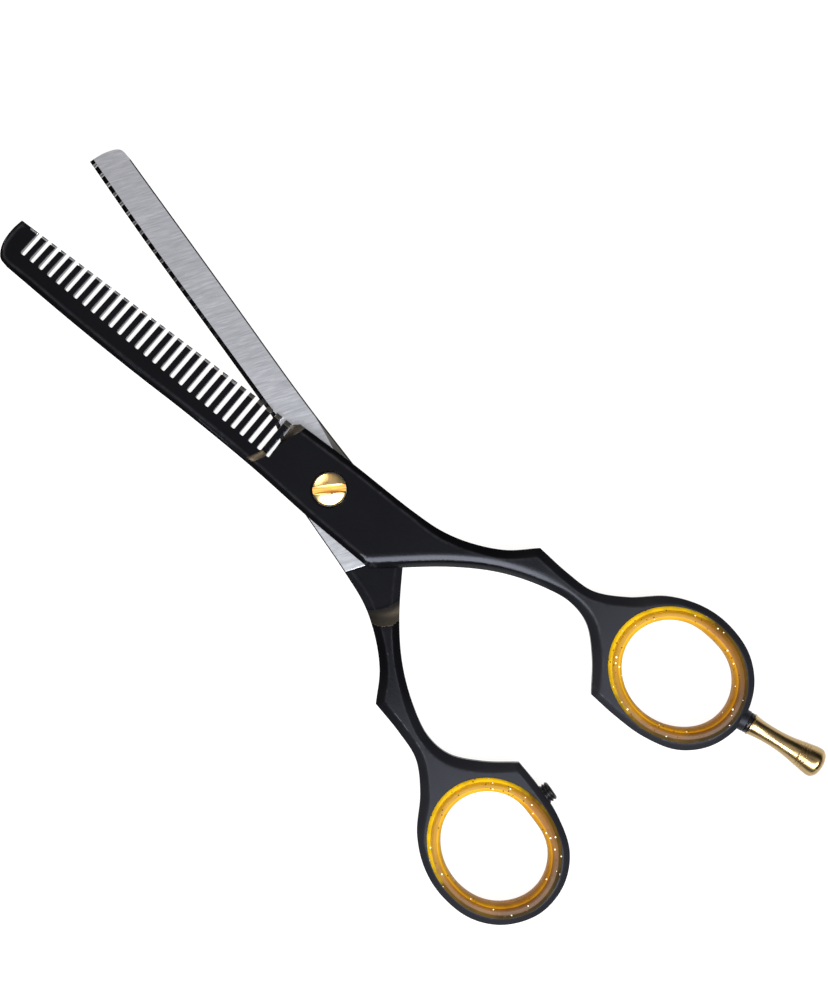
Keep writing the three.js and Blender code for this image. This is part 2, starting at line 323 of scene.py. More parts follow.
class Slab:
    """A closed body between two height fields on one plan, with a finish for each of its faces."""

    def __init__(self, v, f, top, bottom, finishes, rows=1):
        n = len(v)
        edges = dict.fromkeys((t[i], t[(i + 1) % 3]) for t in f.tolist() for i in range(3))
        rim = [e for e in edges if (e[1], e[0]) not in edges]
        on_rim = sorted({i for e in rim for i in e})
        number = {i: k for k, i in enumerate(on_rim)}
        verts = [np.c_[v, top], np.c_[v, bottom]]
        levels = [lambda i: i]
        for row in range(1, rows):
            s = row / rows
            verts.append(np.c_[v[on_rim], top[on_rim] * (1 - s) + bottom[on_rim] * s])
            levels.append(lambda i, first=2 * n + (row - 1) * len(on_rim): first + number[i])
        levels.append(lambda i: i + n)
        walls = [[hi(b), hi(a), lo(a), lo(b)] for a, b in rim for hi, lo in zip(levels, levels[1:])]
        self.verts = np.concatenate(verts)
        self.faces = f.tolist() + (f[:, ::-1] + n).tolist() + walls
        self.mid = np.array([self.verts[g].mean(0) for g in self.faces])
        self.triangles = f
        order = np.arange(len(self.faces))
        self.top, self.wall = order < len(f), order >= 2 * len(f)
        self.bottom = ~(self.top | self.wall)
        self.finishes = finishes
        self.index = np.zeros(len(self.faces), int)

    def bottom_where(self, marked):
        """The bottom's faces that have two or more corners marked in the plan."""
        where = np.zeros(len(self.faces), bool)
        where[self.bottom] = marked[self.triangles].sum(1) > 1
        return where

    def paint(self, where, finish):
        self.index[where] = self.finishes.index(finish)

    def make(self, name, place, wear_and_highlight):
        """The object; the values of its painted edge highlight are the plan's, and are 0 on the wall's own
        vertices.
        """
        wear_and_highlight = np.concatenate([wear_and_highlight, wear_and_highlight, np.zeros(len(self.verts) - 2 * len(wear_and_highlight))])
        return make_object(name, self.verts, self.faces, self.finishes, self.index, place, 26, wear_and_highlight)


# ---- materials -----------------------------------------------------------------------------
def material(name, base, rough, metal=0.0, **sockets):
    """A material with its node tree and shader; sockets are plain values on the shader itself."""
    m = bpy.data.materials.new(name)
    m.use_nodes = True
    s = m.node_tree.nodes["Principled BSDF"]
    s.inputs["Base Color"].default_value = (*base, 1)
    s.inputs["Roughness"].default_value = rough
    s.inputs["Metallic"].default_value = metal
    for key, value in sockets.items():
        s.inputs[key.replace("_", " ")].default_value = value
    return m, m.node_tree, s


def node(tree, kind, **values):
    """A shader node; each value is set on the socket of that name, or else on the property."""
    n = tree.nodes.new("ShaderNode" + kind)
    for key, value in values.items():
        key = key.replace("_", " ")
        if key in n.inputs:
            n.inputs[key].default_value = value
        else:
            setattr(n, key.replace(" ", "_"), value)
    return n


def feed(tree, socket, value):
    """Links the socket to another node's output, or sets its own value."""
    if isinstance(value, bpy.types.NodeSocket):
        tree.links.new(value, socket)
    else:
        socket.default_value = value


def maths(tree, operation, *values):
    n = node(tree, "Math", operation=operation)
    for socket, value in zip(n.inputs, values):
        feed(tree, socket, value)
    return n.outputs[0]


def mixed(tree, kind, factor, a, b):
    """From a to b by factor; kind is RGBA for colours, FLOAT for numbers."""
    first, result = {"RGBA": (6, 2), "FLOAT": (2, 0)}[kind]
    n = node(tree, "Mix", data_type=kind)
    for i, value in ((0, factor), (first, a), (first + 1, b)):
        feed(tree, n.inputs[i], value)
    return n.outputs[result]


def remapped(tree, value, start, end, low=0.0, high=1.0):
    """low where value is start, high where it is end, and held beyond them."""
    n = node(tree, "MapRange", From_Min=start, From_Max=end, To_Min=low, To_Max=high)
    tree.links.new(value, n.inputs["Value"])
    return n.outputs["Result"]


def spread(tree, noise, low, high):
    """A noise value's usual range, stretched to low and high."""
    return remapped(tree, noise, 0.3, 0.7, low, high)


def ramp(tree, value, stops):
    """A colour ramp through stops of (position, colour)."""
    r = node(tree, "ValToRGB")
    e = r.color_ramp.elements
    while len(e) < len(stops):
        e.new(0.5)
    for item, (at, colour) in zip(e, stops):
        item.position = at
        item.color = (*colour, 1)
    tree.links.new(value, r.inputs["Fac"])
    return r.outputs["Color"]


def own_coordinates(tree, turn=0.0):
    """The piece's own coordinates in metres, turned about Z by so many degrees."""
    n = node(tree, "VectorRotate", rotation_type="Z_AXIS", Angle=math.radians(turn))
    tree.links.new(node(tree, "TexCoord").outputs["Object"], n.inputs["Vector"])
    return n.outputs["Vector"]


def component(tree, vector, axis):
    n = node(tree, "SeparateXYZ")
    tree.links.new(vector, n.inputs["Vector"])
    return n.outputs[axis]


def grain(tree, turn, scale, detail=3.0):
    """Noise turned about Z and stretched along the axes; scale is in cycles per mm."""
    mapping = node(tree, "Mapping", Scale=[s / MM for s in scale])
    tree.links.new(own_coordinates(tree, turn), mapping.inputs["Vector"])
    noise = node(tree, "TexNoise", Scale=1.0, Detail=detail, Roughness=0.6)
    tree.links.new(mapping.outputs["Vector"], noise.inputs["Vector"])
    return noise.outputs["Fac"]


def bump(tree, shader, height, strength, depth):
    """Bump of the shader's normal; depth is in mm."""
    b = node(tree, "Bump", Strength=strength, Distance=depth * MM)
    tree.links.new(height, b.inputs["Height"])
    tree.links.new(b.outputs["Normal"], shader.inputs["Normal"])


def coating():
    """Black coating: glossy on the body and blade, duller on the handles and painted greyer there as
    sheen, with a lighter line along its chamfers that is a painted edge highlight, broken into patches like
    wear.
    """
    m, t, s = material("black_coating", (0.004, 0.004, 0.005), 0.3, Specular_IOR_Level=0.2)
    s.inputs["Specular Tint"].default_value = (0.8, 0.84, 1.0, 1)
    fine = grain(t, -10, (0.8, 9, 9))
    cloud = grain(t, 0, (0.06, 0.09, 0.09), 2)
    deep = ramp(t, cloud, [(0.3, (0.001, 0.001, 0.0013)), (0.7, (0.0018, 0.0018, 0.0024))])
    sheen_grey = ramp(t, cloud, [(0.3, (0.0045, 0.0048, 0.0065)), (0.7, (0.0075, 0.008, 0.0105))])
    handled = remapped(t, component(t, own_coordinates(t), "X"), -0.03, -0.06)
    # the greyer tone on the handles is painted sheen; the body and blade keep the deep tone
    colour = mixed(t, "RGBA", handled, deep, sheen_grey)
    # a lighter line painted where the chamfers meet the flats: a painted edge highlight, broken into patches
    # like wear
    patches = spread(t, grain(t, 0, (0.5, 0.5, 0.5)), 0.25, 1.0)
    worn_and_lit = maths(t, "MULTIPLY", node(t, "Attribute", attribute_name="wear_and_highlight").outputs["Fac"], patches)
    t.links.new(mixed(t, "RGBA", worn_and_lit, colour, (0.015, 0.0155, 0.018, 1)), s.inputs["Base Color"])
    rough = mixed(t, "FLOAT", handled, spread(t, fine, 0.2, 0.25), spread(t, fine, 0.4, 0.48))
    t.links.new(rough, s.inputs["Roughness"])
    bump(t, s, grain(t, 0, (7, 7, 7)), 0.08, 0.008)
    return m


def steel(name, turn, tone, rough, strength=0.2, stretch=(0.28, 8, 8)):
    """Brushed steel: fine lines, turned about Z, under a fainter cloud."""
    m, t, s = material(name, tone, rough, 1.0)
    line = grain(t, turn, stretch, 4)
    cloud = grain(t, turn, (0.07, 0.25, 0.25), 2)
    stops = [(0.34, [c * 0.915 for c in tone]), (0.66, [min(1, c * 1.065) for c in tone])]
    t.links.new(ramp(t, mixed(t, "FLOAT", 0.25, line, cloud), stops), s.inputs["Base Color"])
    t.links.new(spread(t, line, rough * 0.85, rough * 1.2), s.inputs["Roughness"])
    bump(t, s, line, strength, 0.006)
    return m


def ramp_highlight():
    """Painted highlight on the ramp of the hollow: its colour fades from the coating's black to a lit brown
    towards the shank.
    """
    m, t, s = material("ramp_painted_highlight", (0.1, 0.09, 0.07), 0.36, Specular_IOR_Level=0.3)
    own = own_coordinates(t)
    off_axis = maths(t, "ABSOLUTE", component(t, own, "Y"))
    across = maths(t, "MULTIPLY_ADD", off_axis, -0.56, component(t, own, "X"))
    line = grain(t, 60, (0.4, 4, 4), 3)
    # painted highlight: the colour runs from the coating's black to brown along the ramp
    fade = remapped(t, maths(t, "MULTIPLY_ADD", line, 0.0012, across), -0.0277, -0.0322)
    stops = [
        (0.0, (0.0012, 0.0012, 0.0016)), (0.35, (0.007, 0.0065, 0.006)),
        (0.65, (0.024, 0.022, 0.019)), (1.0, (0.062, 0.056, 0.049)),
    ]
    t.links.new(ramp(t, fade, stops), s.inputs["Base Color"])
    t.links.new(spread(t, line, 0.28, 0.42), s.inputs["Roughness"])
    bump(t, s, line, 0.1, 0.006)
    return m


def honed():
    """Mirror strip along the cutting edge, painted near black for the dark it reflects, with the marks the
    teeth leave at their pitch.
    """
    m, t, s = material("honed_steel", (0.05, 0.05, 0.055), 0.16, 1.0)
    along = component(t, own_coordinates(t, OPEN / 2), "X")
    pitch = maths(t, "FRACT", maths(t, "MULTIPLY", along, 1 / (MARK_PITCH * MM)))
    greys = [(0.0, 0), (0.3, 0), (0.36, 1), (0.5, 0.25), (0.62, 0.8), (0.7, 0)]
    mark = ramp(t, pitch, [(at, (c, c, c)) for at, c in greys])
    rough = grain(t, -64.5, (0.6, 6, 6), 3)
    near_tip = remapped(t, along, 0.03, 0.078)
    marked = maths(t, "MULTIPLY", maths(t, "MULTIPLY", mark, near_tip), spread(t, rough, 0.5, 1.0))
    # the near-black base is a painted dark reflection of what the strip mirrors
    colour = ramp(t, marked, [(0.0, (0.03, 0.03, 0.034)), (1.0, (0.42, 0.42, 0.44))])
    t.links.new(colour, s.inputs["Base Color"])
    t.links.new(spread(t, rough, 0.12, 0.3), s.inputs["Roughness"])
    t.links.new(maths(t, "SUBTRACT", 1.0, marked), s.inputs["Metallic"])
    return m


def gold(name, tone, rough, turn=0.0, stretch=(0.5, 0.5, 0.5), dark=0.86):
    """Gold plating, tarnished in places to dark times its tone."""
    m, t, s = material(name, tone, rough, 1.0)
    tarnish = grain(t, turn, stretch, 4)
    stops = [(0.35, [c * dark for c in tone]), (0.65, tone)]
    t.links.new(ramp(t, tarnish, stops), s.inputs["Base Color"])
    t.links.new(spread(t, tarnish, rough * 0.75, rough * 1.5), s.inputs["Roughness"])
    bump(t, s, grain(t, turn, [c * 8 for c in stretch]), 0.03, 0.005)
    return m


def specks(tree, per_metre, size, empty, channel):
    """1 inside the specks of a cell pattern, of which the share called empty holds none."""
    cells = node(tree, "TexVoronoi", Scale=per_metre)
    tree.links.new(own_coordinates(tree), cells.inputs["Vector"])
    lot = node(tree, "SeparateColor")
    tree.links.new(cells.outputs["Color"], lot.inputs["Color"])
    chosen = maths(tree, "GREATER_THAN", lot.outputs[channel], empty)
    return maths(tree, "MULTIPLY", maths(tree, "LESS_THAN", cells.outputs["Distance"], size), chosen)


def amber(name, clear, tones):
    """Gel with bright and dark specks in it, painted lighter at the end of the insert nearest the pivot as
    light falling on that side.
    """
    m, t, s = material(name, tones[1], 0.4, Transmission_Weight=clear, IOR=1.33, Specular_IOR_Level=0.02)
    # lighter towards +X, the end nearest the pivot: painted light
    lit_to_pivot = component(t, node(t, "TexCoord").outputs["Generated"], "X")
    cloud = mixed(t, "FLOAT", 0.5, grain(t, 0, (0.16, 0.16, 0.16), 4), lit_to_pivot)
    body = ramp(t, cloud, list(zip((0.25, 0.5, 0.75), tones)))
    bright = specks(t, 1150.0, 0.18, 0.74, "Green")
    dark = specks(t, 1500.0, 0.24, 0.78, "Red")
    colour = mixed(t, "RGBA", dark, body, (0.12, 0.05, 0.01, 1))
    t.links.new(mixed(t, "RGBA", bright, colour, (1.0, 0.93, 0.68, 1)), s.inputs["Base Color"])
    through_it = remapped(t, maths(t, "MAXIMUM", bright, dark), 0.0, 1.0, clear, 0.0)
    t.links.new(through_it, s.inputs["Transmission Weight"])
    bump(t, s, grain(t, 0, (1.2, 1.2, 1.2)), 0.12, 0.03)
    return m


def rubber(name, tone, rough):
    """Rubber or nylon with a fine speck in tone and surface."""
    m, t, s = material(name, tone, rough, Specular_IOR_Level=0.25)
    speck = grain(t, 0, (4, 4, 4))
    stops = [(0.3, [c * 0.8 for c in tone]), (0.7, [c * 1.25 for c in tone])]
    t.links.new(ramp(t, speck, stops), s.inputs["Base Color"])
    t.links.new(spread(t, speck, rough * 0.85, rough * 1.15), s.inputs["Roughness"])
    bump(t, s, speck, 0.3, 0.02)
    return m


COATING = coating()
BLADE_STEEL = steel("blade_steel", -64.5, (0.77, 0.79, 0.85), 0.22, 0.05, (0.3, 3.6, 3.6))
HONED = honed()
GROUND = steel("ground_steel", -80, (0.15, 0.146, 0.136), 0.36)
# brown painted on the hollow's ramp as its highlight
RAMP_HIGHLIGHT = ramp_highlight()
SHOULDER_STEEL = steel("shoulder_steel", -80, (0.062, 0.058, 0.052), 0.36)
WASHER_STEEL = steel("washer_steel", 30, (0.6, 0.6, 0.62), 0.3)
GOLD_HEAD = gold("gold_head", (0.88, 0.64, 0.3), 0.27)
# deeper orange copy of the head's gold for the drive slot: painted shade of the recess
GOLD_SLOT_SHADED = gold("gold_slot_painted_shade", (0.85, 0.45, 0.1), 0.35, -53, (0.4, 3, 3))
GOLD_REST = gold("gold_rest", (0.45, 0.32, 0.15), 0.22, -16.2, (0.08, 1.4, 1.4), 0.66)
AMBER = amber("amber_gel", 0.7, [(0.17, 0.062, 0.0006), (0.37, 0.155, 0.001), (0.62, 0.34, 0.002)])
# darker copy of the gel for the flange's outer band: painted shade where it lies over the black ring
AMBER_RIM_SHADED = amber("amber_rim_painted_shade", 0.25, [(0.035, 0.022, 0.007), (0.11, 0.062, 0.006), (0.7, 0.45, 0.006)])
# lighter copy of the gel for the wall inside the hole: painted light where it lies over the hole
AMBER_WALL_LIT = amber("amber_wall_painted_light", 0.3, [(0.28, 0.12, 0.004), (0.45, 0.22, 0.006), (0.66, 0.37, 0.01)])
RUBBER = rubber("black_rubber", (0.003, 0.003, 0.004), 0.3)
NYLON = rubber("white_nylon", (0.8, 0.79, 0.75), 0.45)

# places of the front half, the rear half and the finger rest, which is drawn along Z
FRONT = turned_by(OPEN / 2)
REAR = turned_by(-OPEN / 2) @ shifted(0, 0, STACK) @ turned_by(180, "X")
TO_REST = FRONT @ shifted(REST_X, REST_Y, MID) @ turned_by(REST_TURN) @ turned_by(-90, "Y")


# ---- the halves ----------------------------------------------------------------------------
# A half is drawn closed, with its outer face up. Its outline is a list of (kind, line), which runs
# clockwise, and d holds the distance of each point of its plan from the edges of each kind.
OUTER, FINE, INNER = 0, 1, 2  # bevelled outer edge, sharp or toothed edge, the shank's inner edge
ROWS = (0.06, 0.3, 0.6, 0.85, 1.0, 1.08)  # points across a chamfer, as shares of its width
SOFT_ROWS = (0.15, 0.5, 0.85, 1.02, 1.1, 1.3, 1.5, 1.85, 2.2, 2.55, 2.9, 3.2)  # in mm
GRID = 1.1
BELOW_ALL, ABOVE_ALL = -9, 9
SHOULDER_LINE = through(SHOULDER, 0.2)


def blade_share(x):
    """0 on the body, 1 at a blade's tip."""
    return np.clip((x - 15) / 64, 0, 1)


def face_fall(x):
    """How far the outer face lies under its height at the screw."""
    return THINNING * blade_share(x) + HANDLE_DROP * smooth(14, 42, -x)


def outer_width(x):
    """Width of the chamfer along the outer edge."""
    return np.interp(
        x,
        [-92, -66, -60, -50, -42, -36, -22, -15, 70, 76.5, 79],
        [1.25, 1.3, 1.9, 1.65, 1.7, 1.8, 1.5, 1.1, 1.15, 0.8, 0.6],
    )


def inner_width(x):
    """Width of the chamfer along the shank's inner edge."""
    return np.interp(x, [-66, -60, -50, -40, -25, -15.7], [1.5, 2.0, 1.65, 1.6, 1.5, 1.2])


def falling(d, width, power=1):
    """1 on an edge, 0 from width away from it."""
    return np.clip(1 - d / width, 0, 1) ** power


def chamfer(d, width):
    return 0.62 * width * falling(d, width, 1.12)


def edge_drop(x, d, soft):
    """How far the edges fall: a crisp chamfer, or on the comb's inner edge a broad rounding."""
    outer = chamfer(d[OUTER], outer_width(x))
    inner = chamfer(d[INNER], inner_width(x))
    if soft:
        on = smooth(-51, -41, x)
        broad = 0.95 * falling(d[INNER], 2.9, 2) + 0.7 * falling(d[INNER], 1.1, 1.12)
        inner = inner * (1 - on) + broad * on
    return (outer**6 + inner**6) ** (1 / 6)


def edge_highlight_and_wear(x, d):
    """1 on the line where a chamfer meets the flat, 0 a little way off; the coating is painted lighter there
    as an edge highlight.
    """
    outer = np.exp(-(((d[OUTER] - outer_width(x)) / 0.16) ** 2))
    inner = np.exp(-(((d[INNER] - inner_width(x)) / 0.16) ** 2)) * (d[INNER] < 9)
    return np.maximum(outer, inner)


def slot(number, tips):
    """Outline of a slot that is open at the teeth's tips, and squarish at its closed end."""
    r = SLOT_W / 2
    x, y = SLOT_0 + PITCH * number, SLOT_END - r
    squeeze, taper = (FIRST_SQUEEZE, FIRST_TAPER) if number == 0 else (1.0, 0)
    bow = lambda c: math.copysign(abs(c) ** 0.55, c)
    foot = y_on(tips, x) - y
    end = [(r * bow(math.cos(t)) * squeeze, r * bow(math.sin(t))) for t in np.linspace(0, math.pi, 13)]
    line = np.concatenate([
        straight((r * squeeze, foot), (r * squeeze, 0), 0.7)[:-1],
        end,
        straight((-r * squeeze, 0), (-r * squeeze + taper, foot), 0.7)[1:],
    ])
    line = spun(line, -LEAN * number / SLOTS) + (x, y)
    line[[0, -1], 1] = y_on(tips, line[[0, -1], 0])
    return line


def toothed_edge():
    """The teeth's tips and the slots between them, from the tip of the blade back."""
    tips = through(COMB_EDGE, 0.4)
    parts = [tips[:1]]
    for number in reversed(range(SLOTS)):
        line = slot(number, tips)
        parts += [straight(parts[-1][-1], line[0], 0.5)[1:-1], line]
    return np.concatenate(parts)


def loop_of(outline):
    return np.concatenate([line[:-1] for _, line in outline])


def rims_of(outline):
    """The segments of each kind of edge."""
    kinds = (OUTER, FINE, INNER)
    return {k: np.concatenate([segments_of(line) for kind, line in outline if kind == k]) for k in kinds}


def plan(outline, holes, creases, extra, soft):
    """Plan of a half as triangles, and d. creases are (line, closed), kept as edges of the mesh; extra
    are lines of points only."""
    rims = rims_of(outline)
    loops = [loop_of(outline), *holes]
    edges = np.concatenate(list(rims.values()))
    rows = []
    for kind, line in outline:
        if kind == FINE:
            offsets = [np.full(len(line), o) for o in (0.1, 0.25)]
        elif kind == INNER and soft:
            offsets = [np.full(len(line), o) for o in SOFT_ROWS]
        else:
            w = outer_width(line[:, 0]) if kind == OUTER else inner_width(line[:, 0])
            offsets = [w * o for o in ROWS] + [w + o for o in (0.5, 1.0)]
        normal = inward(line)
        for o in offsets:
            q = line + normal * o[:, None]
            rows.append(q[distance(q, edges) > 0.94 * o])
    for hole in holes:
        centre = hole.mean(0)
        rows += [centre + (hole - centre) * (1 + o / 12) for o in (0.25, 0.6)]
    (x0, y0), (x1, y1) = loops[0].min(0), loops[0].max(0)
    gx, gy = np.meshgrid(np.arange(x0, x1, GRID), np.arange(y0, y1, GRID))
    gx = gx + GRID / 2 * (np.arange(len(gy)) % 2)[:, None]
    grid = np.stack([gx.ravel(), gy.ravel()], 1)
    grid = grid[distance(grid, edges) > 0.5]
    p = np.concatenate([*rows, *extra, grid])
    p = p[inside(p, loops)]
    lines = [shut(q) for q in loops] + [shut(q) if closed else q for q, closed in creases]
    p = p[distance(p, np.concatenate([segments_of(q) for q in lines])) > 0.05]
    _, first = np.unique(np.round(p / 0.14).astype(int), axis=0, return_index=True)
    v, f = mesh_plan(loops, creases, p[np.sort(first)])
    return v, f, {k: distance(v, rims[k]) for k in rims}


def ramp_shift(y):
    """How far forward the ramp behind the ride face lies at y: it is askew, and bowed."""
    return 0.07 * (y + 5.2) ** 2 - 0.4 * (y + 5.5)


def ramp_points():
    """Points on the ramp, close enough for its curve."""
    xs = np.linspace(RAMP_X + 0.2, RAMP_X - RAMP_R + 0.3, 20)
    return np.array([(x + ramp_shift(y), y) for x in xs for y in np.arange(-12, 6, 0.35)])


def outer_and_under(v, d, soft):
    """Heights of the outer and the inner face on the plan, and where the inner one is the ramp."""
    x = v[:, 0]
    drop = edge_drop(x, d, soft)
    along = x - ramp_shift(v[:, 1])
    back = np.clip((RAMP_X - along) / RAMP_R, 0, 0.999)
    round_z = RIDE - RAMP_R * (1 - np.sqrt(1 - back**2))
    ramp_z = np.where(along > RAMP_X - RAMP_R, round_z, BELOW_ALL)
    flat_z = MID - RING_HALF + drop
    on_ramp = (ramp_z > flat_z) & (along < RAMP_X - 0.7) & (x < -20)
    return STACK - face_fall(x) - drop, np.maximum(ramp_z, flat_z), on_ramp


def ramp_end(outline, soft):
    """Line where the ramp comes down to the shank's flat and its edges."""
    loop, rims = loop_of(outline), rims_of(outline)
    ends = []
    for y in np.arange(-10.8, 2.4, 0.3):
        x = np.arange(-31, -21, 0.04)
        p = np.stack([x, np.full(len(x), y)], 1)
        p = p[inside(p, [loop])]
        if len(p):
            _, _, on_ramp = outer_and_under(p, {k: distance(p, rims[k]) for k in rims}, soft)
            if on_ramp.any() and not on_ramp[0]:
                ends.append(p[on_ramp][0])
    ends = np.array(ends)
    ends[1:-1] = (ends[:-2] + ends[1:-1] * 2 + ends[2:]) / 4
    return np.concatenate([[2 * ends[0] - ends[1]], ends, [2 * ends[-1] - ends[-2]]])


def ring_centre(angle):
    return bent(np.array([RING]), angle)[0]


def ring_hole(angle):
    return ellipse(*ring_centre(angle), RING_A, RING_A * SQUASH, 150)


def handle(shank_out, angle):
    return [
        (OUTER, bent(through(shank_out, 0.5), angle)),
        (OUTER, bent(through(RING_OUT, 0.45), angle)),
        (INNER, bent(through(SHANK_IN, 0.5), angle)),
    ]


def tip_facet(x):
    """Length of the ground facet on the tip of a tooth."""
    return np.interp(x, [13, 22, 36, 79], [1.0, 0.8, 0.45, 0.4])


def shoulder_ramp(y):
    """Length of the ground ramp in front of the shoulder; the first slot ends it on the teeth's side."""
    wall = FIRST_WALL + FIRST_TAPER * np.clip((FIRST_END - y) / FIRST_LENGTH, 0, 1)
    return np.where(y > FIRST_END, 1.5, np.clip(wall - x_on(SHOULDER_LINE, y), 0.1, 2.0))


def comb_half():
    teeth = toothed_edge()
    tips = through(COMB_EDGE, 0.4)
    outline = [
        *handle(SHANK_OUT, BEND),
        (OUTER, through(COMB_SPINE, 0.6)),
        (OUTER, through(COMB_TIP, 0.35)),
        (FINE, teeth),
        (FINE, straight(teeth[-1], SHANK_OUT[0], 0.3)),
    ]
    shoulder = through(SHOULDER, 0.3)
    shoulder = shoulder[shoulder[:, 1] < SHOULDER_TOP]
    foot = shoulder[shoulder[:, 1] > FIRST_END] + (1.5, 0)
    xs = np.arange(BLADE_ROOT - 0.1, BLADE_TIP + 0.1, 0.7)
    facets = np.stack([xs, y_on(tips, xs) + tip_facet(xs)], 1)
    creases = [(circle(r, 108), True) for r in (SEAT_R, SEAT_R - 0.03, SEAT_R + 0.08)]
    creases += [(line, False) for line in (shoulder, foot, facets, ramp_end(outline, True))]
    extra = [circle(r, n) for r, n in ((3.3, 60), (3.76, 100), (3.95, 80), (4.35, 60), (4.9, 50))]
    extra += [shoulder + (o, 0) for o in (-0.2, -0.06, 0.06, 0.3, 0.6, 0.9, 1.2, 1.7)]
    extra += [facets + (0, o) for o in (-0.3, 0.08, 0.3)]
    extra.append(ramp_points())
    v, f, d = plan(outline, [ring_hole(BEND), circle(FRONT_BORE, 72)], creases, extra, True)

    x, y = v.T
    # where the coating gets its painted edge highlight
    wear_and_highlight = edge_highlight_and_wear(x, d)
    top, under, on_ramp = outer_and_under(v, d, True)
    past = x - x_on(SHOULDER_LINE, y)
    face = TEETH_Z - TEETH_SLOPE * (SHOULDER[-1][1] - y) - TEETH_THINNING * blade_share(x)
    face = np.minimum(face, top)
    ground = face + (top - face) * falling(past, shoulder_ramp(y), 1.5)
    top = np.where((past > 0) & (x > 10), ground, top)
    facet = np.clip(tip_facet(x) - (y - y_on(tips, x)), 0, 1) * ((x > BLADE_ROOT) & (x < BLADE_TIP))
    top = top - np.interp(x, [13, 22, 36], [0.3, 0.2, 0.05]) * facet
    top = top - 0.05 * falling(d[FINE], 0.09) * (x > 12.9)
    r = np.hypot(x, y)
    seat_rim = np.where(r < SEAT_R + 0.02, top - 0.06, top)
    top = np.where(r < SEAT_R - 0.01, SEAT_Z, seat_rim)

    half = Slab(v, f, top, under, [COATING, BLADE_STEEL, GROUND, RAMP_HIGHLIGHT, SHOULDER_STEEL], 2)
    x, y, _ = half.mid.T
    past = x - x_on(SHOULDER_LINE, y)
    blade = (x > BLADE_ROOT) & (x < BLADE_TIP)
    facets = half.top & blade & (y - y_on(tips, x) < tip_facet(x))
    near_teeth = distance(half.mid[:, :2], segments_of(teeth)) < 0.05
    half.paint(half.bottom_where(on_ramp), RAMP_HIGHLIGHT)
    half.paint(half.top & (past > 0) & (past < shoulder_ramp(y)) & (y < SHOULDER_TOP), SHOULDER_STEEL)
    half.paint(facets, GROUND)
    half.paint(facets & (x > 27), BLADE_STEEL)
    half.paint(half.bottom & (x > RIDE_BACK + RIDE_SLANT * y), BLADE_STEEL)
    half.paint(half.wall & near_teeth & (x > 16) & (x < BLADE_TIP), GROUND)
    o = half.make("comb_half_fine", FRONT, wear_and_highlight)
    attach(o, "comb_side")
    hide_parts("comb_half")


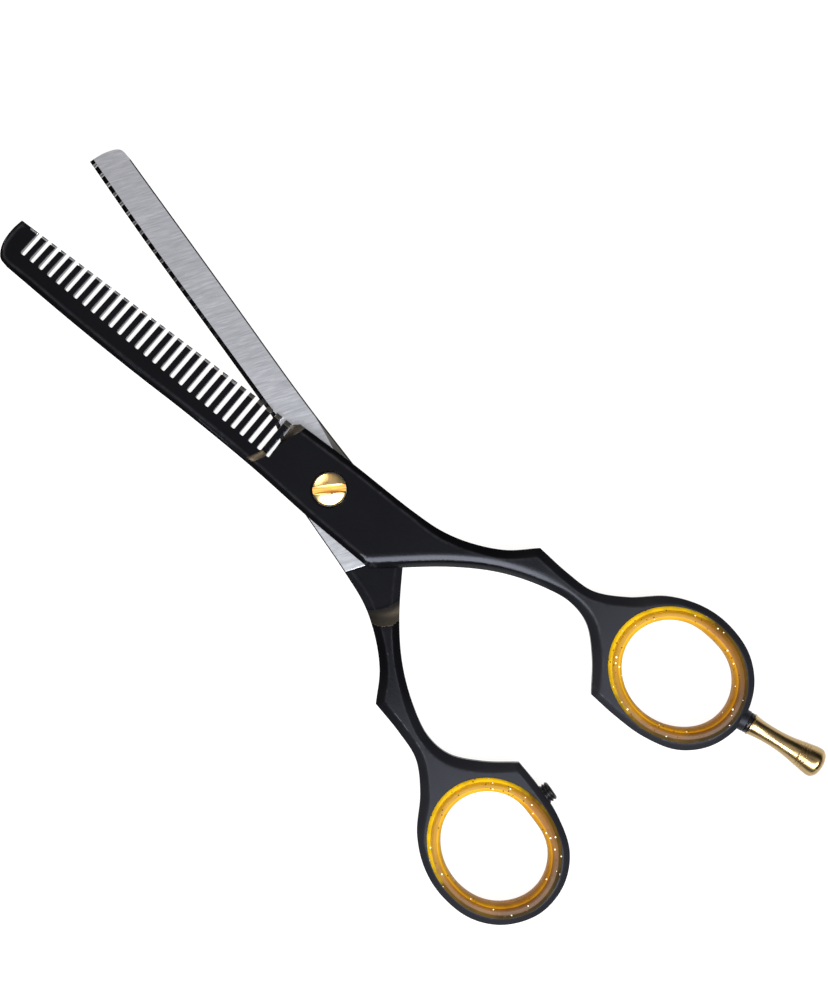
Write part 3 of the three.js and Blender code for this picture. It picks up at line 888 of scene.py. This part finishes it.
def plain_half():
    edge, heel, spine = through(PLAIN_EDGE, 0.5), through(PLAIN_HEEL, 0.4), through(PLAIN_SPINE, 0.6)
    outline = [
        *handle(PLAIN_SHANK, -BEND),
        (OUTER, spine),
        (OUTER, through(PLAIN_TIP, 0.35)),
        (FINE, edge),
        (FINE, heel),
    ]
    side = outline[0][1]
    side = side[side[:, 0] > -20]
    sharp = np.concatenate([edge, heel[1:]])
    hone_lines = [(sharp + inward(sharp) * o)[sharp[:, 0] > 10.2] for o in (HONE_W, 0.3, 0.6, 0.78, 0.93)]
    back_line = lambda o: np.array([(RIDE_BACK - RIDE_SLANT * y - o, y) for y in np.linspace(-8.4, 8.4, 40)])
    relief = through(RELIEF, 0.6)
    creases = [(circle(r, 96), True) for r in (POCKET_R, POCKET_R - 0.03)]
    creases += [(line, False) for line in (hone_lines[0], spine[1:-1] - (0, LIP), side[1:-1] + (0, LIP))]
    creases += [(back_line(o), False) for o, _ in GROOVE]
    creases += [(relief, False), (ramp_end(outline, False), False)]
    extra = [*hone_lines[1:], *[edge + (0, o) for o in (1.9, 2.6, 3.2, 3.6)]]
    extra += [relief - (0, 0.12), ramp_points(), *[back_line(o) for o in (-0.4, 0.12, 0.45)]]
    v, f, d = plan(outline, [ring_hole(-BEND), circle(REAR_BORE, 56)], creases, extra, False)

    x, y = v.T
    # where the coating gets its painted edge highlight, at half strength
    wear_and_highlight = 0.5 * edge_highlight_and_wear(x, d)
    top, under, on_ramp = outer_and_under(v, d, False)
    from_edge = y - y_on(edge, x)
    # the cutting bevel on the outer face comes in over the first few millimetres of the blade
    bevel = BEVEL_Z + BEVEL_SLOPE * np.clip(from_edge, 0, None)
    blade = smooth(13.5, 17, x)
    top = np.where(x > 13.5, np.minimum(top, bevel * blade + ABOVE_ALL * (1 - blade)), top)
    # the ride face: honed strip, ground relief, faint facet behind the pivot, groove, lip and pocket
    under = under + 0.42 * falling(d[FINE], HONE_W) * smooth(9, 11, x)
    dip = 0.2 * np.clip(y - y_on(np.array(RELIEF), x), 0, None)
    under = under + dip * ((x > -4) & (x < 14.5))
    dip = 0.008 * np.clip(-0.36 * (x + 8.9) - 0.93 * (y + 6.1), 0, None)
    under = under + dip * ((x > -17.5) & (x < -6) & (y < 0))
    groove = np.interp(RIDE_BACK - RIDE_SLANT * y - x, *np.array(GROOVE).T)
    under = under + groove * ((x > -22) & (x < -8))
    lip = 0.1 * falling(np.minimum(d[OUTER], d[FINE]), LIP)
    under = under + lip * ((x > -19) & (x < 74.5) & (from_edge > 1.5))
    under = np.where(np.hypot(x, y) < POCKET_R - 0.01, RIDE + POCKET_DEPTH, under)

    half = Slab(v, f, np.maximum(top, under + 0.1), under, [COATING, BLADE_STEEL, HONED, GROUND, RAMP_HIGHLIGHT], 2)
    x, y, z = half.mid.T
    middle = half.mid[:, :2]
    to_rim = distance(middle, np.concatenate([segments_of(spine), segments_of(side)]))
    bare = half.bottom & (x > RIDE_BACK - RIDE_SLANT * y) & ((to_rim > 0.9 * LIP) | (x > 74.5))
    half.paint(half.bottom_where(on_ramp), RAMP_HIGHLIGHT)
    half.paint(bare, BLADE_STEEL)
    half.paint(bare & (y > y_on(np.array(RELIEF), x)) & (x > -4) & (x < 14.5), GROUND)
    half.paint(half.top & (x > 14) & (z < 4.4), BLADE_STEEL)
    half.paint(half.bottom & (x > 10.5) & (distance(middle, segments_of(sharp)) < HONE_W), HONED)
    o = half.make("plain_half_fine", REAR, wear_and_highlight)
    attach(o, "plain_side")
    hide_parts("plain_half")


# ---- fittings ------------------------------------------------------------------------------
def insert(name, node_name, body, angle, place, squeezes):
    """A soft channel that grips the metal ring. squeezes: (direction, depth, breadth) of each place
    where its inner rim is pushed in, with the angles in degrees."""
    lip, web = RING_HALF + 0.02, RING_A - 0.02
    rim_from, wall_to = 13.45, 12.2
    side = [
        (14.25, lip), (14.12, 2.5), (13.85, 2.74), (13.4, 2.93), (12.75, 3.04), (12.35, 3.0),
        (12.15, 2.93), (11.9, 2.86), (11.6, 2.5), (11.38, 1.7), (11.3, 0.4),
    ]
    profile = [(web, -lip), (web, lip), *side, *[(r, -z) for r, z in reversed(side)], (web, -lip)]
    verts, faces = turned(softened(profile, 0.14, 3), 180)
    v = np.array(verts)
    r, a = np.hypot(v[:, 0], v[:, 1]), np.degrees(np.arctan2(v[:, 1], v[:, 0]))
    push = 0
    for at, depth, breadth in squeezes:
        push = push + depth * np.exp(-((((a - at + 180) % 360 - 180) / breadth) ** 2))
    pushed = 1 - push * np.clip((13.2 - r) / 1.9, 0, 1) / r
    v *= np.stack([pushed, pushed * SQUASH, np.ones(len(v))], 1)
    out = np.array([r[g].mean() for g in faces])
    # the outer band gets the gel's painted-shade copy, and the wall inside the hole its painted-light copy
    index = np.select([out > rim_from, out < wall_to], [1, 2], 0)
    finishes = [AMBER, AMBER_RIM_SHADED, AMBER_WALL_LIT]
    o = make_object(name, v, faces, finishes, index, place @ shifted(*ring_centre(angle), MID), 40)
    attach(o, body)
    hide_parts(node_name)


def collar(inner, outer, z0, z1, rounding):
    """A washer from z0 to z1 with rounded edges."""
    profile = [(inner, z0), (outer, z0), (outer, z1), (inner, z1), (inner, z0)]
    return turned(softened(profile, rounding), 64)


def finger_rest():
    flare = through([(2.05, 0.5), (1.84, 2.2), (1.76, 4.4), (1.82, 6.6), (2.05, 8.8), (2.4, 10.7)], 0.3)
    grooves = []
    for z in (10.9, 11.5, 12.1):
        r = 2.42 + (z - 10.6) * 0.17
        grooves += [(r, z), (r - 0.09, z + 0.1), (r - 0.09, z + 0.16), (r + 0.04, z + 0.26)]
    end = through([(2.8, 12.8), (3.0, 14.1), (2.93, 14.9), (2.3, 15.7), (1.1, 16.15), (0, 16.25)], 0.2)
    foot = [(0, 7), (1.1, 6.4), (1.1, 0), (2.1, 0), (2.2, 0.08), (2.2, 0.32), (2.06, 0.42)]
    verts, faces = turned([*foot, *flare, *grooves, *end], 96)
    o = make_object("finger_rest_fine", verts, faces, [GOLD_REST], None, TO_REST, 30)
    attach(o, "rest")
    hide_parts("finger_rest")
    verts, faces = collar(1.2, 2.1, -0.72, -0.08, 0.2)
    o = make_object("rest_washer_fine", verts, faces, [RUBBER], None, TO_REST, 40)
    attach(o, "rest")
    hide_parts("rest_washer")
    verts, faces = collar(1.1, 2.15, -2.4, -0.8, 0.18)
    o = make_object("rest_boss", verts, faces, [COATING], None, TO_REST, 40)
    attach(o, "comb_side")


def screw_top(p):
    """Height of the screw's head: a dome with a rounded edge, and the slot across it."""
    dome = [(r, SCREW_TOP - r * r / 13.6) for r in np.linspace(0, 3.1, 24)] + [(3.2, 6.12), (SCREW_R, 5.98)]
    across = np.abs(spun(p, -DRIVE_TURN)[:, 1])
    top = np.interp(np.hypot(*p.T), *np.array(dome).T) - 0.07 * falling(across - DRIVE_HALF, DRIVE_BEVEL)
    return np.where(across < DRIVE_HALF - 0.02, DRIVE_FLOOR, top)


def pivot_screw():
    lines = []
    edges = (DRIVE_HALF - 0.04, DRIVE_HALF, DRIVE_HALF + DRIVE_BEVEL)
    for y in [*[-y for y in reversed(edges)], *edges]:
        x = math.sqrt(SCREW_R**2 - y * y) - 0.02
        lines.append((spun(straight((-x, y), (x, y), 0.25), DRIVE_TURN), False))
    radii = (3.2, 3.1, 2.95, 2.7, 2.4, 2.0, 1.6, 1.2, 0.8, 0.4)
    p = np.concatenate([circle(r, max(8, int(r * 26))) for r in radii])
    across = np.abs(spun(p, -DRIVE_TURN)[:, 1])
    p = p[np.abs(across - DRIVE_HALF + 0.02) > 0.06]
    v, f = mesh_plan([circle(SCREW_R, 110)[::-1]], lines, p)
    head = Slab(v, f, screw_top(v), np.full(len(v), 5.3), [GOLD_HEAD, GOLD_SLOT_SHADED])
    # the slot's floor gets the gold's painted-shade copy
    head.paint(head.top & (np.abs(spun(head.mid[:, :2], -DRIVE_TURN)[:, 1]) < DRIVE_HALF), GOLD_SLOT_SHADED)
    thread = [q for k in range(10) for q in ((2.0, 0.35 + 0.24 * k), (1.86, 0.47 + 0.24 * k))]
    shank = turned([(0, 0), (1.75, 0), (1.9, 0.2), *thread, (2.0, 2.8), (2.0, 5.35), (0, 5.35)], 64)
    verts, faces = joined((head.verts, head.faces), shank)
    index = np.concatenate([head.index, np.zeros(len(shank[1]), int)])
    o = make_object("pivot_screw_fine", verts, faces, head.finishes, index, None, 35)
    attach(o, "screw")
    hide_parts("pivot_screw")


def bumper():
    ribs = []
    for z in (0.02, 0.62, 1.22):
        ribs += [(1.86, z), (1.97, z + 0.1), (1.97, z + 0.26), (1.72, z + 0.38), (1.72, z + 0.5)]
    end = [(1.7, 1.8), (1.2, 1.86), (0.6, 1.8), (0, 1.78)]
    profile = [(0, -1.9), (0.9, -1.9), (0.9, 0), *ribs[:-2], *end]
    verts, faces = turned(softened(profile, 0.06, 2), 72)
    place = REAR @ shifted(BUMPER_X, BUMPER_Y, MID) @ turned_by(-90, "X")
    o = make_object("bumper_fine", verts, faces, [RUBBER], None, place, 40)
    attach(o, "plain_side")
    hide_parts("bumper")


comb_half()
plain_half()
insert("finger_insert_fine", "finger_insert", "comb_side", BEND, FRONT, [(265, 0.5, 24), (120, 0.2, 30)])
insert("thumb_insert_fine", "thumb_insert", "plain_side", -BEND, REAR, [(88, 0.75, 22), (200, 0.25, 30)])
finger_rest()
pivot_screw()
bumper()
cad_finishes = {
    "pivot_bush": NYLON, "glide_washer": NYLON, "head_washer": WASHER_STEEL, "rest_stud": WASHER_STEEL,
}
for name, finish in cad_finishes.items():
    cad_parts[name].data.materials.clear()
    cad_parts[name].data.materials.append(finish)


# ---- floor, light and camera ---------------------------------------------------------------
def toward(azimuth):
    a = math.radians(azimuth)
    return Vector((math.cos(a), math.sin(a), 0))


def facing(x, y, z):
    """The turn that takes the axes to these three directions."""
    return Matrix((x, y, z)).transposed().to_4x4()


def floor():
    m, t, s = material("floor", (0.16, 0.16, 0.16), 0.9)
    stops = [(0.3, (0.15, 0.15, 0.15)), (0.7, (0.17, 0.17, 0.17))]
    t.links.new(ramp(t, grain(t, 0, (0.01, 0.01, 0.01)), stops), s.inputs["Base Color"])
    s.inputs["Emission Color"].default_value = (1, 1, 1, 1)
    s.inputs["Emission Strength"].default_value = 0.92
    mesh = bpy.data.meshes.new("floor")
    corners = [(x * 3.0, y * 3.0, -0.0002) for x, y in ((-1, -1), (1, -1), (1, 1), (-1, 1))]
    mesh.from_pydata(corners, [], [(0, 1, 2, 3)])
    mesh.materials.append(m)
    o = bpy.data.objects.new("floor", mesh)
    bpy.context.scene.collection.objects.link(o)


def soft_box(name, azimuth, tilt, size, power, colour=(1, 1, 1)):
    """A soft box facing the pivot from 0.9 m, at an azimuth and a tilt from the vertical."""
    t = math.radians(tilt)
    back = toward(azimuth) * math.sin(t) + Vector((0, 0, math.cos(t)))
    side = toward(azimuth + 90)
    light = bpy.data.lights.new(name, "AREA")
    light.shape = "RECTANGLE"
    light.size, light.size_y = size
    light.energy = power
    light.color = colour
    o = bpy.data.objects.new(name, light)
    o.matrix_world = Matrix.Translation(back * 0.9) @ facing(side, back.cross(side), back)
    bpy.context.scene.collection.objects.link(o)


def sky():
    """Light from all round, brightest at the horizon and overhead; the camera itself sees near white."""
    w = bpy.data.worlds.new("studio")
    w.use_nodes = True
    t = w.node_tree
    height = component(t, node(t, "TexCoord").outputs["Generated"], "Z")
    stops = [(0.0, 0.6), (0.1, 0.45), (0.2, 0.09), (0.35, 0.03), (0.8, 0.06), (0.93, 0.28), (1.0, 0.46)]
    light = ramp(t, height, [(at, (c, c, c * 1.02)) for at, c in stops])
    seen = node(t, "LightPath").outputs["Is Camera Ray"]
    colour = mixed(t, "RGBA", seen, light, (0.93, 0.93, 0.94, 1))
    t.links.new(colour, t.nodes["Background"].inputs["Color"])
    bpy.context.scene.world = w


def camera():
    """It looks straight down at the part."""
    cam = bpy.data.objects.new("camera", bpy.data.cameras.new("camera"))
    cam.data.lens, cam.data.sensor_width = LENS, SENSOR
    cam.data.sensor_fit = "AUTO"
    right, up = toward(VIEW_TURN), toward(VIEW_TURN + 90)
    above = Vector((0, 0, (LENS / SENSOR * VIEW_HEIGHT + VIEW_Z) * MM))
    centre = (right * VIEW_X + up * VIEW_Y) * MM
    cam.matrix_world = Matrix.Translation(centre + above) @ facing(right, up, Vector((0, 0, 1)))
    cam.data.clip_start, cam.data.clip_end = 0.01, 20
    bpy.context.scene.collection.objects.link(cam)
    bpy.context.scene.camera = cam


floor()
sky()
soft_box("key", 128, 32, (0.6, 0.36), 11.5)
soft_box("end", 185, 34, (0.4, 0.3), 7.5)
soft_box("warm", 0, 50, (0.6, 0.35), 5.5, (1.0, 0.82, 0.62))
camera()
bpy.context.scene.view_settings.view_transform = "Standard"
